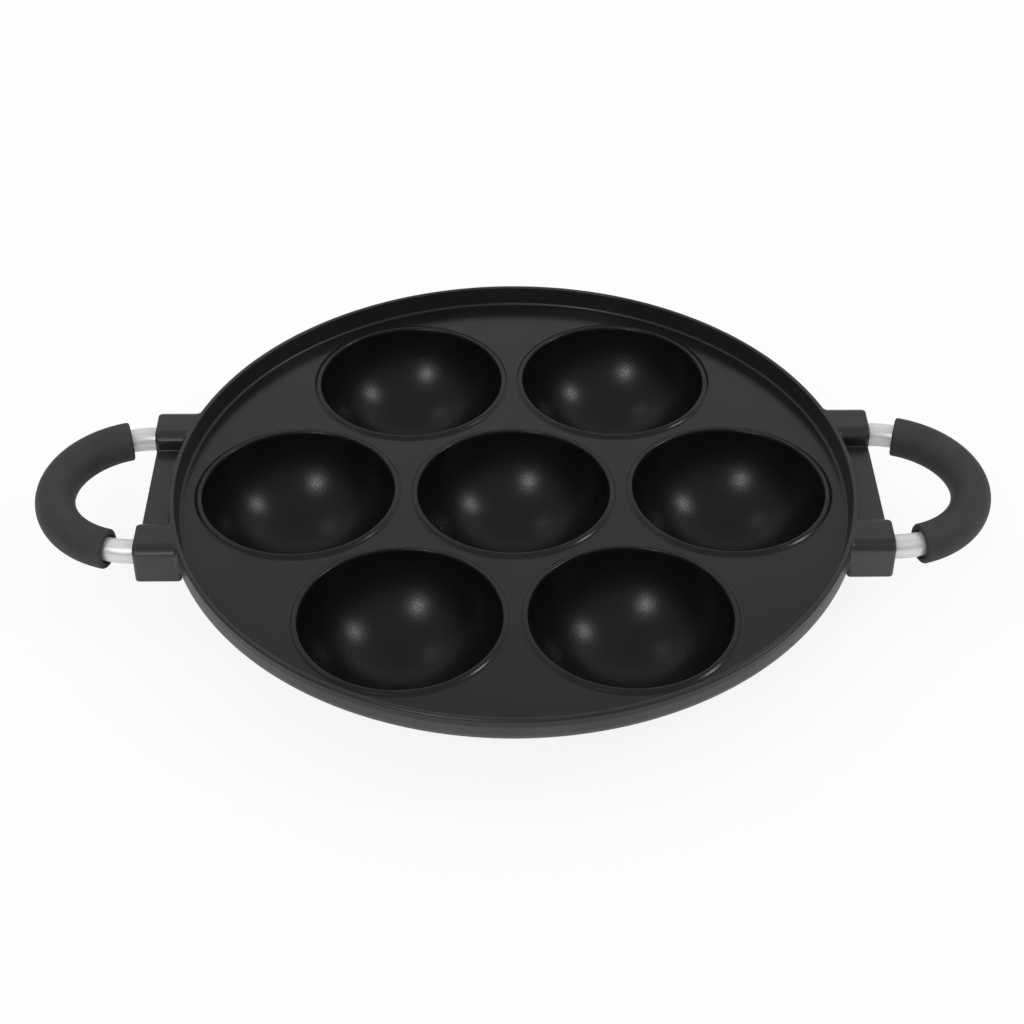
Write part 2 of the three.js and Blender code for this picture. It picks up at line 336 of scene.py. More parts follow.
def lug_side_inset(z):
    """How far a lug's long side is drawn in at a height: a crowned top, then a tighter round."""
    drop = RIM_TOP - z
    if drop < crown_drop:
        sideways = math.sqrt(max(LUG_CROWN_RADIUS ** 2 - (LUG_CROWN_RADIUS - drop) ** 2, 0))
        return crown_width + round_width - sideways
    return inset_at(z, LUG_SHOULDER + LUG_TOP_ROUND, LUG_TOP_ROUND)


def lugs_and_wall(z, flare):
    """Both lugs of the right side and the rim's wall between them, in plan, at one height."""
    wall = rim_outer_radius(z) - SKIN
    inset = lug_side_inset(z)
    outer_y = LUG_MIDDLE_Y + LUG_HALF_WIDTH - inset
    inner_y = LUG_MIDDLE_Y - LUG_HALF_WIDTH + inset - flare
    corner = LUG_CORNER
    corner_x = LUG_END - inset_at(z, RIM_TOP, LUG_END_EDGE) - corner
    outer_x = math.sqrt((wall + OUTER_FILLET) ** 2 - (outer_y + OUTER_FILLET) ** 2)
    outer_angle = math.atan2(outer_y + OUTER_FILLET, outer_x)
    fillet = INNER_FILLET - flare
    inner_x = math.sqrt((wall + flare + fillet) ** 2 - (inner_y - fillet) ** 2)
    inner_angle = math.atan2(inner_y - fillet, inner_x)
    half = [
        *arc(outer_x, outer_y + OUTER_FILLET, OUTER_FILLET, OUTER_FILLET,
             outer_angle + 2 * QUARTER, 3 * QUARTER, OUTER_FILLET_STEPS),
        *arc(corner_x, outer_y - corner, corner, corner, QUARTER, 0, CORNER_STEPS),
        *arc(corner_x, inner_y + corner + flare, corner, corner + flare, 0, -QUARTER, CORNER_STEPS),
        *arc(inner_x, inner_y - fillet, fillet, fillet, QUARTER, inner_angle + 2 * QUARTER, FILLET_STEPS),
        *arc(0, 0, wall + flare, wall + flare, inner_angle, 0, RIM_WALL_STEPS)[1:],
    ]
    outline = half + [(x, -y) for x, y in reversed(half[:-1])] + inside_arc(z, outer_angle)
    return [(x, y, z) for x, y in outline]


corner_levels = [PLATE_UNDER + RIM_CORNER * (1 - math.cos(a)) for a in fillet_turns[:CORNER_LEVELS]]
wall_levels = [BRIDGE_TOP + (LUG_SHOULDER - BRIDGE_TOP) * share for share in WALL_SHARES]
round_turn = (QUARTER - LUG_CROWN_TURN) / TOP_ROUND_STEPS
round_turns = [LUG_CROWN_TURN + round_turn * i for i in range(TOP_ROUND_STEPS)]
crown_turns = [LUG_CROWN_TURN * i / CROWN_STEPS for i in range(CROWN_STEPS + 1)]
lug_levels = [
    *[(z, 0) for z in corner_levels],
    (PLATE_TOP - 2 * SKIN, 0),
    (PLATE_TOP, 0),
    (BRIDGE_TOP - BRIDGE_FILLET / 2, BRIDGE_FILLET),
    *[(BRIDGE_TOP + BRIDGE_FILLET * (1 - math.sin(a)), BRIDGE_FILLET * (1 - math.cos(a)))
      for a in reversed(fillet_turns)],
    *[(z, 0) for z in wall_levels],
    *[(LUG_SHOULDER + LUG_TOP_ROUND * math.cos(a), 0) for a in reversed(round_turns)],
    *[(RIM_TOP - LUG_CROWN_RADIUS * (1 - math.cos(a)), 0) for a in reversed(crown_turns[:-1])],
]
side = as_object("side_casting", lofted([lugs_and_wall(*level) for level in lug_levels]))

bridge_angle = math.asin(LUG_MIDDLE_Y / RIM_WALL_MIDDLE)
bridge_levels = [
    *reversed(rounded_edge(PLATE_UNDER, BRIDGE_EDGE, upwards=False, steps=EDGE_STEPS)),
    (PLATE_TOP - 2 * SKIN, 0),
    (PLATE_TOP, 0),
    *rounded_edge(BRIDGE_TOP, BRIDGE_EDGE, upwards=True, steps=EDGE_STEPS),
]
bridge_rings = [
    [(x, y, z) for x, y in [
        *inside_arc(z, bridge_angle),
        (BRIDGE_END - inset, LUG_MIDDLE_Y),
        (BRIDGE_END - inset, -LUG_MIDDLE_Y),
    ]]
    for z, inset in bridge_levels
]
join_or_cut(side, "UNION", lofted(bridge_rings))


def lug_below_plate(middle_y, z, inset, flare):
    """A lug's outline in plan, below the plate. It flares where the plate is above it."""
    half_width = LUG_HALF_WIDTH - LUG_CORNER
    corners = [
        (LUG_END - LUG_CORNER, half_width),
        (LUG_TAIL + LUG_CORNER, half_width),
        (LUG_TAIL + LUG_CORNER, -half_width),
        (LUG_END - LUG_CORNER, -half_width),
    ]
    outline = []
    for turn, (x, y) in enumerate(corners):
        reach = (UNDER_FILLET_END_RADIUS - math.hypot(x, y + middle_y)) / UNDER_FILLET_FADE
        radius = LUG_CORNER - inset + flare * min(max(reach, 0), 1)
        start = turn * QUARTER
        outline += arc(x, middle_y + y, radius, radius, start, start + QUARTER, CORNER_STEPS)
    return [(x, y, z) for x, y in outline]


lower_edge = rounded_edge(LUG_BOTTOM, LUG_LOWER_EDGE, upwards=False, steps=LOWER_EDGE_STEPS)
lower_levels = [
    *[(z, inset, 0) for z, inset in reversed(lower_edge)],
    *[(PLATE_UNDER - UNDER_FILLET * (1 - math.sin(a)), 0, UNDER_FILLET * (1 - math.cos(a)))
      for a in fillet_turns],
    (PLATE_UNDER + UNDER_FILLET / 4, 0, UNDER_FILLET),
]
for middle_y in (LUG_MIDDLE_Y, -LUG_MIDDLE_Y):
    join_or_cut(side, "UNION", lofted([lug_below_plate(middle_y, *level) for level in lower_levels]))

for turn in (0, math.pi):
    shape = bmesh.new()
    shape.from_mesh(side.data)
    bmesh.ops.rotate(shape, verts=shape.verts, matrix=Matrix.Rotation(turn, 3, "Z"))
    join_or_cut(pan, "UNION", shape)
bpy.data.objects.remove(side)
join_or_cut(pan, "DIFFERENCE", at_each_well(well_profile))


# Pan casting, bores. Each lug has a blind bore for a leg of the bar, and a hole from below for the screw
# that locks it. Both are drilled before the pan is coated, with their edges broken.

ROD_LOW, ROD_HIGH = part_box("handle_rod_right")
ROD_RADIUS = (ROD_HIGH.z - ROD_LOW.z) / 2
ROD_Z = (ROD_HIGH.z + ROD_LOW.z) / 2
BORE_GAP = 0.00006
BORE_RADIUS = ROD_RADIUS + BORE_GAP
BORE_END_GAP = 0.0003
BORE_END = ROD_LOW.x - BORE_END_GAP
BORE_MOUTH = 0.0003
SCREW_LOW, SCREW_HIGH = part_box("locking_screw_right_back")
SCREW_X = (SCREW_LOW.x + SCREW_HIGH.x) / 2
SCREW_RADIUS = (SCREW_HIGH.x - SCREW_LOW.x) / 2
SCREW_GAP = 0.00012
SCREW_HOLE_RADIUS = SCREW_RADIUS + SCREW_GAP
SCREW_MOUTH = 0.0004
BORE_SIDES = 48
BORE_MOUTH_STEPS = 4

bore_profile = [
    (0, BORE_END),
    (BORE_RADIUS, BORE_END),
    *arc(BORE_RADIUS + BORE_MOUTH, LUG_END - BORE_MOUTH, BORE_MOUTH, BORE_MOUTH, 2 * QUARTER, QUARTER,
         BORE_MOUTH_STEPS),
    (BORE_RADIUS + BORE_MOUTH, LUG_END + OVERRUN),
    (0, LUG_END + OVERRUN),
]
screw_hole_profile = [
    (0, LUG_BOTTOM - OVERRUN),
    (SCREW_HOLE_RADIUS + SCREW_MOUTH, LUG_BOTTOM - OVERRUN),
    (SCREW_HOLE_RADIUS + SCREW_MOUTH, LUG_BOTTOM),
    (SCREW_HOLE_RADIUS, LUG_BOTTOM + SCREW_MOUTH),
    (SCREW_HOLE_RADIUS, ROD_Z),
    (0, ROD_Z),
]


def drilled(profile, along, x, y, z, turn):
    shape = turned(profile, BORE_SIDES)
    bmesh.ops.rotate(shape, verts=shape.verts, matrix=along)
    bmesh.ops.translate(shape, verts=shape.verts, vec=(x, y, z))
    bmesh.ops.rotate(shape, verts=shape.verts, matrix=Matrix.Rotation(turn, 3, "Z"))
    return shape


lug_sides = [(y, turn) for turn in (0, math.pi) for y in (LUG_MIDDLE_Y, -LUG_MIDDLE_Y)]
upright = Matrix.Identity(3)
lying = Matrix.Rotation(QUARTER, 3, "Y")
bores = [drilled(bore_profile, lying, 0, y, ROD_Z, turn) for y, turn in lug_sides]
screw_holes = [drilled(screw_hole_profile, upright, SCREW_X, y, 0, turn) for y, turn in lug_sides]
join_or_cut(pan, "DIFFERENCE", gathered(bores))
join_or_cut(pan, "DIFFERENCE", gathered(screw_holes))

SHARP_ANGLE = math.radians(38)
FLAT_FACE_WEIGHT = 60


def smoothed(piece):
    """Smooth shading that keeps flat faces flat and real corners crisp."""
    piece.data.shade_smooth()
    piece.data.set_sharp_from_angle(angle=SHARP_ANGLE)
    step = piece.modifiers.new("flat_faces_stay_flat", "WEIGHTED_NORMAL")
    step.keep_sharp = True
    step.weight = FLAT_FACE_WEIGHT
    keep_modifiers(piece)


smoothed(pan)


# Pan casting, finish. A black non-stick coating with a fine grain and a soft gloss on the plate and in the
# wells, where it is painted darker as shade in the hollows, a slightly greyer one on the rim, lugs and
# bridges, and a grainy matt black outside and underneath.

# The same coating as on the plate, painted darker in the wells: painted shade in the hollows.
WELL_PAINTED_SHADE_COLOURS = ((0.0028, 0.0028, 0.0029), (0.0044, 0.0044, 0.0045))
WELL_ROUGHNESS = (0.26, 0.32)
WELL_GRAIN_DEPTH = 0.000026
PLATE_COLOURS = ((0.0062, 0.0062, 0.0064), (0.0090, 0.0090, 0.0093))
PLATE_ROUGHNESS = (0.19, 0.25)
PLATE_GRAIN_DEPTH = 0.000012
TRAY_REFRACTION = 1.38
RIM_COLOURS = ((0.0105, 0.0105, 0.0108), (0.0145, 0.0145, 0.0149))
RIM_ROUGHNESS = (0.31, 0.38)
RIM_GRAIN_DEPTH = 0.000012
RIM_REFRACTION = 1.5
OUTSIDE_COLOURS = ((0.034, 0.034, 0.035), (0.052, 0.052, 0.053))
OUTSIDE_ROUGHNESS = (0.30, 0.40)
OUTSIDE_GRAIN_DEPTH = 0.00004
OUTSIDE_REFRACTION = 1.45
GRAIN_SCALE = 1300
RIPPLE_SCALE = 260
RIPPLE_DEPTH = 0.00001
CLOUD_SCALE = 38
NOISE_LOW = 0.3
NOISE_HIGH = 0.7
TURNED_DOWN = -0.05
TURNED_TO_THE_END = 0.95
STILL_ON_TOP = 0.6


def finish_nodes(name):
    material = bpy.data.materials.new(name)
    material.use_nodes = True
    tree = material.node_tree
    shader = tree.nodes["Principled BSDF"]
    place = tree.nodes.new("ShaderNodeTexCoord").outputs["Object"]
    return material, tree, shader, place


def noise(tree, place, scale, detail=2.0, roughness=0.5):
    node = tree.nodes.new("ShaderNodeTexNoise")
    node.inputs["Scale"].default_value = scale
    node.inputs["Detail"].default_value = detail
    node.inputs["Roughness"].default_value = roughness
    tree.links.new(place, node.inputs["Vector"])
    return node.outputs["Fac"]


def between(tree, share, low, high):
    """The noise's middle range stretched between two values."""
    node = tree.nodes.new("ShaderNodeMapRange")
    node.inputs["From Min"].default_value = NOISE_LOW
    node.inputs["From Max"].default_value = NOISE_HIGH
    node.inputs["To Min"].default_value = low
    node.inputs["To Max"].default_value = high
    tree.links.new(share, node.inputs["Value"])
    return node.outputs["Result"]


def colour_between(tree, share, first, second):
    ramp = tree.nodes.new("ShaderNodeValToRGB")
    ramp.color_ramp.elements[0].position = NOISE_LOW
    ramp.color_ramp.elements[1].position = NOISE_HIGH
    ramp.color_ramp.elements[0].color = (*first, 1)
    ramp.color_ramp.elements[1].color = (*second, 1)
    tree.links.new(share, ramp.inputs["Fac"])
    return ramp.outputs["Color"]


def bumps(tree, shader, layers):
    """Stacks bump layers of (height, depth in metres) under the shader's normal."""
    below = None
    for height, depth in layers:
        bump = tree.nodes.new("ShaderNodeBump")
        bump.inputs["Strength"].default_value = 1
        bump.inputs["Distance"].default_value = depth
        tree.links.new(height, bump.inputs["Height"])
        if below:
            tree.links.new(below, bump.inputs["Normal"])
        below = bump.outputs["Normal"]
    tree.links.new(below, shader.inputs["Normal"])


def coating(name, colours, roughness, refraction, grain_depth):
    material, tree, shader, place = finish_nodes(name)
    cloud = noise(tree, place, CLOUD_SCALE, detail=4)
    grain = noise(tree, place, GRAIN_SCALE, detail=3, roughness=0.6)
    ripple = noise(tree, place, RIPPLE_SCALE)
    tree.links.new(colour_between(tree, cloud, *colours), shader.inputs["Base Color"])
    tree.links.new(between(tree, grain, *roughness), shader.inputs["Roughness"])
    shader.inputs["IOR"].default_value = refraction
    bumps(tree, shader, [(ripple, RIPPLE_DEPTH), (grain, grain_depth)])
    return material


for finish in (
    coating("well_coating_painted_shade", WELL_PAINTED_SHADE_COLOURS, WELL_ROUGHNESS, TRAY_REFRACTION, WELL_GRAIN_DEPTH),
    coating("plate_coating", PLATE_COLOURS, PLATE_ROUGHNESS, TRAY_REFRACTION, PLATE_GRAIN_DEPTH),
    coating("rim_coating", RIM_COLOURS, RIM_ROUGHNESS, RIM_REFRACTION, RIM_GRAIN_DEPTH),
    coating("matt_black", OUTSIDE_COLOURS, OUTSIDE_ROUGHNESS, OUTSIDE_REFRACTION, OUTSIDE_GRAIN_DEPTH),
):
    pan.data.materials.append(finish)


def finish_number(face):
    """0 in the wells, 1 on the plate, 2 on the rim, bridges, lug tops and the lug sides that face each
    other (painted shade there), 3 outside and underneath.
    """
    x, y, z = face.center
    out = math.hypot(x, y)
    if out > LIP_OUTER_RADIUS - LIP_ROUND / 2 and z < SMOOTH_BAND_END and abs(x) < LUG_TAIL:
        return 3
    if face.normal.z < TURNED_DOWN and z < RIM_TOP - LIP_ROUND:
        return 3
    # Lug sides that face the other lug keep the darker rim coating, and only their outer sides and ends
    # take the lighter matt black: painted shade between the lugs.
    outer_side = abs(y) > LUG_MIDDLE_Y or abs(face.normal.x) > TURNED_TO_THE_END
    if abs(x) > LUG_TAIL and out > LIP_OUTER_RADIUS and outer_side and face.normal.z < STILL_ON_TOP:
        return 3
    if out > RIM_FOOT_RADIUS - RIM_FILLET / 2:
        return 2
    to_well = min(math.hypot(x - well_x, y - well_y) for well_x, well_y in well_places)
    return 0 if to_well < WELL_RADIUS + WELL_EDGE / 2 and z < BEAD_TOP - WELL_EDGE / 4 else 1


for face in pan.data.polygons:
    face.material_index = finish_number(face)

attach(pan, "root")
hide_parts("pan_casting")


# Handle bars. On each side a round stainless bar, bent to a half circle, with a straight leg in each lug.
# It is brushed along its length, and the screw's point has a seat drilled into each leg.

BOW_RADIUS = LUG_MIDDLE_Y
BOW_CENTRE_X = ROD_HIGH.x - ROD_RADIUS - BOW_RADIUS
LEG_LENGTH = BOW_CENTRE_X - ROD_LOW.x
QUARTER_BOW = BOW_RADIUS * QUARTER
ROD_SIDES = 48
BEND_STEPS = 72
LEG_STEPS = 6
ROD_END_CHAMFER = 0.0005
SEAT_RADIUS = 0.00145
SEAT_GAP = 0.0001
SEAT_TOP = SCREW_HIGH.z + SEAT_GAP
STEEL_COLOURS = ((0.66, 0.66, 0.65), (0.94, 0.94, 0.93))
STEEL_ROUGHNESS = (0.34, 0.44)
STEEL_CLOUD_SCALE = 120
STREAK_SCALES = (44, 40, 1)
STREAK_DEPTH = 0.000012
METAL_SHARE = 0.55
BRUSHING_SHARE = 0.35
HANDLE_SIDES = (("right", 0), ("left", math.pi))


def bow_place(distance, offset, height):
    """A point near the right bow's middle line: distance from its outermost point, and offset outwards."""
    if abs(distance) <= QUARTER_BOW:
        angle = distance / BOW_RADIUS
        reach = BOW_RADIUS + offset
        return (BOW_CENTRE_X + reach * math.cos(angle), reach * math.sin(angle), ROD_Z + height)
    side_sign = math.copysign(1, distance)
    leg_x = BOW_CENTRE_X - (abs(distance) - QUARTER_BOW)
    return (leg_x, side_sign * (BOW_RADIUS + offset), ROD_Z + height)


def along_bow(stations, sides):
    """Rings round the bow's middle line, from (distance, radius) stations."""
    turns = [FULL_TURN * i / sides for i in range(sides)]
    return [[bow_place(d, r * math.cos(a), r * math.sin(a)) for a in turns] for d, r in stations]


def lengthwise_map(piece):
    """A texture map: once round the bar in the first direction, metres along it in the second."""
    layer = piece.data.uv_layers.new(name="lengthwise")
    for loop in piece.data.loops:
        x, y, z = piece.data.vertices[loop.vertex_index].co
        x = abs(x)
        angle = math.atan2(y, x - BOW_CENTRE_X) if x > BOW_CENTRE_X else math.copysign(QUARTER, y)
        reach = math.hypot(x - BOW_CENTRE_X, y) if x > BOW_CENTRE_X else abs(y)
        distance = BOW_RADIUS * angle + (0 if x > BOW_CENTRE_X else math.copysign(BOW_CENTRE_X - x, y))
        round_share = math.atan2(z - ROD_Z, reach - BOW_RADIUS) / FULL_TURN
        layer.data[loop.index].uv = (round_share, distance)


def bar_shape():
    full = QUARTER_BOW + LEG_LENGTH
    bend = [QUARTER_BOW * (2 * i / BEND_STEPS - 1) for i in range(BEND_STEPS + 1)]
    leg = [QUARTER_BOW + (LEG_LENGTH - ROD_END_CHAMFER) * i / LEG_STEPS for i in range(1, LEG_STEPS + 1)]
    distances = [-d for d in reversed(leg)] + bend + leg
    stations = [(d, ROD_RADIUS) for d in distances]
    end_radius = ROD_RADIUS - ROD_END_CHAMFER
    return lofted(along_bow([(-full, end_radius), *stations, (full, end_radius)], ROD_SIDES))


def brushed_steel():
    material, tree, shader, place = finish_nodes("brushed_steel")
    uv = tree.nodes.new("ShaderNodeUVMap")
    uv.uv_map = "lengthwise"
    stretch = tree.nodes.new("ShaderNodeMapping")
    stretch.inputs["Scale"].default_value = STREAK_SCALES
    tree.links.new(uv.outputs["UV"], stretch.inputs["Vector"])
    streaks = noise(tree, stretch.outputs["Vector"], 1, detail=5, roughness=0.65)
    cloud = noise(tree, place, STEEL_CLOUD_SCALE, detail=3)
    tree.links.new(colour_between(tree, streaks, *STEEL_COLOURS), shader.inputs["Base Color"])
    tree.links.new(between(tree, cloud, *STEEL_ROUGHNESS), shader.inputs["Roughness"])
    shader.inputs["Metallic"].default_value = METAL_SHARE
    shader.inputs["Anisotropic"].default_value = BRUSHING_SHARE
    tangent = tree.nodes.new("ShaderNodeTangent")
    tangent.direction_type = "UV_MAP"
    tangent.uv_map = "lengthwise"
    tree.links.new(tangent.outputs["Tangent"], shader.inputs["Tangent"])
    bumps(tree, shader, [(streaks, STREAK_DEPTH)])
    return material


steel = brushed_steel()
seat_profile = [(0, 0), (SEAT_RADIUS, 0), (SEAT_RADIUS, SEAT_TOP), (0, SEAT_TOP)]
for side_name, turn in HANDLE_SIDES:
    bar = as_object(f"steel_bar_{side_name}", bar_shape())
    seats = [drilled(seat_profile, upright, SCREW_X, y, 0, 0) for y in (LUG_MIDDLE_Y, -LUG_MIDDLE_Y)]
    join_or_cut(bar, "DIFFERENCE", gathered(seats))
    smoothed(bar)
    lengthwise_map(bar)
    bar.data.transform(Matrix.Rotation(turn, 4, "Z"))
    bar.data.materials.append(steel)
    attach(bar, "root")
    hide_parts(f"handle_rod_{side_name}")


# Grip sleeves. A thick tube of black silicone pushed on each bar and bent with it, with a fine matt grain
# from its mould. Its ends are rounded outside and slightly hollow round the bar.

SLEEVE_LOW, SLEEVE_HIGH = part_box("grip_sleeve_right")
SLEEVE_RADIUS = (SLEEVE_HIGH.z - SLEEVE_LOW.z) / 2
SLEEVE_GAP = 0.00005
SLEEVE_INNER_RADIUS = ROD_RADIUS + SLEEVE_GAP
SLEEVE_LENGTH = 0.0805
SLEEVE_ROUND = 0.0010
SLEEVE_HOLLOW = 0.0016
SLEEVE_LIP = 0.0004
SLEEVE_SIDES = 64
SLEEVE_STEPS = 60
SLEEVE_LIP_STEPS = 5
SLEEVE_ROUND_STEPS = 8
SLEEVE_COLOURS = ((0.030, 0.030, 0.031), (0.039, 0.039, 0.040))
SLEEVE_ROUGHNESS = (0.56, 0.68)
SLEEVE_REFRACTION = 1.38
SLEEVE_CLOUD_SCALE = 70
SLEEVE_CLOUD_DEPTH = 0.00005
SLEEVE_GRAIN_SCALE = 2600
SLEEVE_GRAIN_DEPTH = 0.00002


def sleeve_shape():
    half = SLEEVE_LENGTH / 2
    straight = [(half - SLEEVE_ROUND) * (1 - 2 * i / SLEEVE_STEPS) for i in range(SLEEVE_STEPS + 1)]
    round_centre = SLEEVE_RADIUS - SLEEVE_ROUND
    lip_centre = round_centre - SLEEVE_LIP
    end = [
        (half - SLEEVE_HOLLOW, SLEEVE_INNER_RADIUS),
        *[(half - SLEEVE_LIP + y, r) for r, y in
          arc(lip_centre, 0, SLEEVE_LIP, SLEEVE_LIP, 2 * QUARTER, QUARTER, SLEEVE_LIP_STEPS)],
        *[(half - SLEEVE_ROUND + y, r) for r, y in
          arc(round_centre, 0, SLEEVE_ROUND, SLEEVE_ROUND, QUARTER, 0, SLEEVE_ROUND_STEPS)],
    ]
    outer = end + [(d, SLEEVE_RADIUS) for d in straight[1:-1]] + [(-d, r) for d, r in reversed(end)]
    inner = [(d, SLEEVE_INNER_RADIUS) for d in reversed(straight[1:-1])]
    rings = along_bow(outer + inner, SLEEVE_SIDES)
    shape = bmesh.new()
    loops = [[shape.verts.new(point) for point in ring] for ring in rings]
    for low, high in zip(loops, loops[1:] + loops[:1]):
        for i in range(SLEEVE_SIDES):
            j = (i + 1) % SLEEVE_SIDES
            shape.faces.new((low[i], low[j], high[j], high[i]))
    bmesh.ops.recalc_face_normals(shape, faces=shape.faces)
    return shape


def silicone():
    material, tree, shader, place = finish_nodes("silicone")
    cloud = noise(tree, place, SLEEVE_CLOUD_SCALE, detail=4)
    grain = noise(tree, place, SLEEVE_GRAIN_SCALE, detail=3, roughness=0.6)
    tree.links.new(colour_between(tree, cloud, *SLEEVE_COLOURS), shader.inputs["Base Color"])
    tree.links.new(between(tree, grain, *SLEEVE_ROUGHNESS), shader.inputs["Roughness"])
    shader.inputs["IOR"].default_value = SLEEVE_REFRACTION
    bumps(tree, shader, [(cloud, SLEEVE_CLOUD_DEPTH), (grain, SLEEVE_GRAIN_DEPTH)])
    return material


rubber = silicone()
for side_name, turn in HANDLE_SIDES:
    sleeve = as_object(f"silicone_sleeve_{side_name}", sleeve_shape())
    sleeve.data.transform(Matrix.Rotation(turn, 4, "Z"))
    sleeve.data.shade_smooth()
    sleeve.data.materials.append(rubber)
    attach(sleeve, "root")
    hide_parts(f"grip_sleeve_{side_name}")


# Locking screws. A hexagon socket set screw goes up through the floor of each lug, and its plain point
# enters the seat in the bar. It is zinc-plated steel with a rolled thread.

THREAD_PITCH = 0.0007
THREAD_DEPTH = 0.00025
SCREW_CHAMFER = 0.0004
POINT_RADIUS = 0.00125
POINT_LENGTH = 0.00195
POINT_START = SCREW_HIGH.z - POINT_LENGTH
SOCKET_WIDTH = 0.002
SOCKET_RADIUS = SOCKET_WIDTH / math.sqrt(3)
SOCKET_DEPTH = 0.0015
SCREW_SIDES = 48
SCREW_STEPS = 44
THREAD_FLANK = 1.3
SOCKET_MOUTH_RADIUS = SOCKET_RADIUS * 1.12
ZINC_COLOURS = ((0.36, 0.36, 0.37), (0.52, 0.52, 0.53))
ZINC_ROUGHNESS = (0.3, 0.5)
ZINC_CLOUD_SCALE = 900
ZINC_CLOUD_DEPTH = 0.00001


def screw_shape():
    """A thread with a chamfer at both its ends, and a plain point on top of it."""
    top = POINT_START - SCREW_CHAMFER
    bottom = SCREW_LOW.z
    angles = [FULL_TURN * i / SCREW_SIDES for i in range(SCREW_SIDES)]
    rings = []
    for i in range(SCREW_STEPS + 1):
        z = bottom + (top - bottom) * i / SCREW_STEPS
        end_gap = min(z - bottom, top - z)
        ring = []
        for n, a in enumerate(angles):
            wave = abs(2 * ((z / THREAD_PITCH - n / SCREW_SIDES) % 1) - 1)
            radius = SCREW_RADIUS - THREAD_DEPTH * min(wave * THREAD_FLANK, 1)
            radius = min(radius, SCREW_RADIUS - SCREW_CHAMFER + end_gap)
            ring.append((radius * math.cos(a), radius * math.sin(a), z))
        rings.append(ring)
    point_levels = [
        (POINT_RADIUS, POINT_START),
        (POINT_RADIUS, SCREW_HIGH.z - SCREW_CHAMFER / 2),
        (POINT_RADIUS - SCREW_CHAMFER / 2, SCREW_HIGH.z),
    ]
    for radius, z in point_levels:
        rings.append([(radius * math.cos(a), radius * math.sin(a), z) for a in angles])
    return lofted(rings)


def socket_shape():
    """A hexagon with a short cone at its mouth."""
    bottom = SCREW_LOW.z
    levels = [
        (SOCKET_MOUTH_RADIUS, bottom - OVERRUN),
        (SOCKET_MOUTH_RADIUS, bottom),
        (SOCKET_RADIUS, bottom + (SOCKET_MOUTH_RADIUS - SOCKET_RADIUS) * 2),
        (SOCKET_RADIUS, bottom + SOCKET_DEPTH),
    ]
    corners = [FULL_TURN * i / 6 for i in range(6)]
    rings = [[(r * math.cos(a), r * math.sin(a), z) for a in corners] for r, z in levels]
    return lofted(rings + [[(0, 0, bottom + SOCKET_DEPTH + SOCKET_RADIUS / 3)]])


def zinc_plate():
    material, tree, shader, place = finish_nodes("zinc_plate")
    cloud = noise(tree, place, ZINC_CLOUD_SCALE, detail=4)
    tree.links.new(colour_between(tree, cloud, *ZINC_COLOURS), shader.inputs["Base Color"])
    tree.links.new(between(tree, cloud, *ZINC_ROUGHNESS), shader.inputs["Roughness"])
    shader.inputs["Metallic"].default_value = 1
    bumps(tree, shader, [(cloud, ZINC_CLOUD_DEPTH)])
    return material


zinc = zinc_plate()
for side_name, turn in HANDLE_SIDES:
    # The left side is the right one turned round, so its screw at +1 comes to the front.
    for end in (1, -1):
        end_name = "back" if (end == 1) == (side_name == "right") else "front"
        screw = as_object(f"set_screw_{side_name}_{end_name}", screw_shape())
        join_or_cut(screw, "DIFFERENCE", socket_shape())
        smoothed(screw)
        screw.data.transform(Matrix.Translation((SCREW_X, end * LUG_MIDDLE_Y, 0)))
        screw.data.transform(Matrix.Rotation(turn, 4, "Z"))
        screw.data.materials.append(zinc)
        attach(screw, "root")
        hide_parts(f"locking_screw_{side_name}_{end_name}")


# Camera. It stands in front of the pan and looks down on it, a little to the left of its middle, at the
# distance at which the rim and the wells are seen as in the photograph.

CAMERA_PLACE = Vector((-0.005446, -0.554295, BEAD_TOP + 0.451077))
CAMERA_PITCH = math.radians(39.787)
CAMERA_YAW = math.radians(0.506)
CAMERA_ROLL = math.radians(-0.044)
SENSOR_WIDTH = 36
IMAGE_SIZE = 1024
FOCAL_PIXELS = 2035.5

camera = bpy.data.objects.new("camera", bpy.data.cameras.new("camera"))
camera.data.sensor_width = SENSOR_WIDTH
camera.data.lens = FOCAL_PIXELS / IMAGE_SIZE * SENSOR_WIDTH
camera.data.clip_start = 0.01
camera.location = CAMERA_PLACE
camera.rotation_euler = (
    Matrix.Rotation(-CAMERA_YAW, 3, "Z")
    @ Matrix.Rotation(QUARTER - CAMERA_PITCH, 3, "X")
    @ Matrix.Rotation(CAMERA_ROLL, 3, "Z")
).to_euler()
scene.collection.objects.link(camera)
scene.camera = camera


# Studio. A white floor that runs out of view, three soft lamps and an even surround. The camera sees the
# surround as white, and gloss sees it as a bright wall behind the pan and a dimmer room everywhere else.

FLOOR_HALF = 3
FLOOR_COLOUR = (0.90, 0.90, 0.90)
FLOOR_GLOW = 0.88
FLOOR_GLOW_IN_GLOSS = 0.25
LAMP_DISTANCE = 4
LAMPS = [
    ("front_lamp", -116.0, 43.6, 0.70, 26),
    ("right_lamp", -1.1, 41.3, 0.75, 19.5),
    ("left_lamp", 152.7, 56.9, 0.85, 2.6),
]
SURROUND_LIGHT_LEVELS = [(0, 0.60), (1, 0.95)]
WALL_BEHIND_LEVELS = [(0, 0.35), (0.35, 0.46), (0.56, 0.88), (0.71, 0.67), (0.92, 0.40)]
ROOM_LEVELS = [(0.27, 0.03), (0.44, 0.16), (0.61, 0.41), (0.78, 0.47)]
WALL_BEHIND_EDGES = (0.05, 0.60)

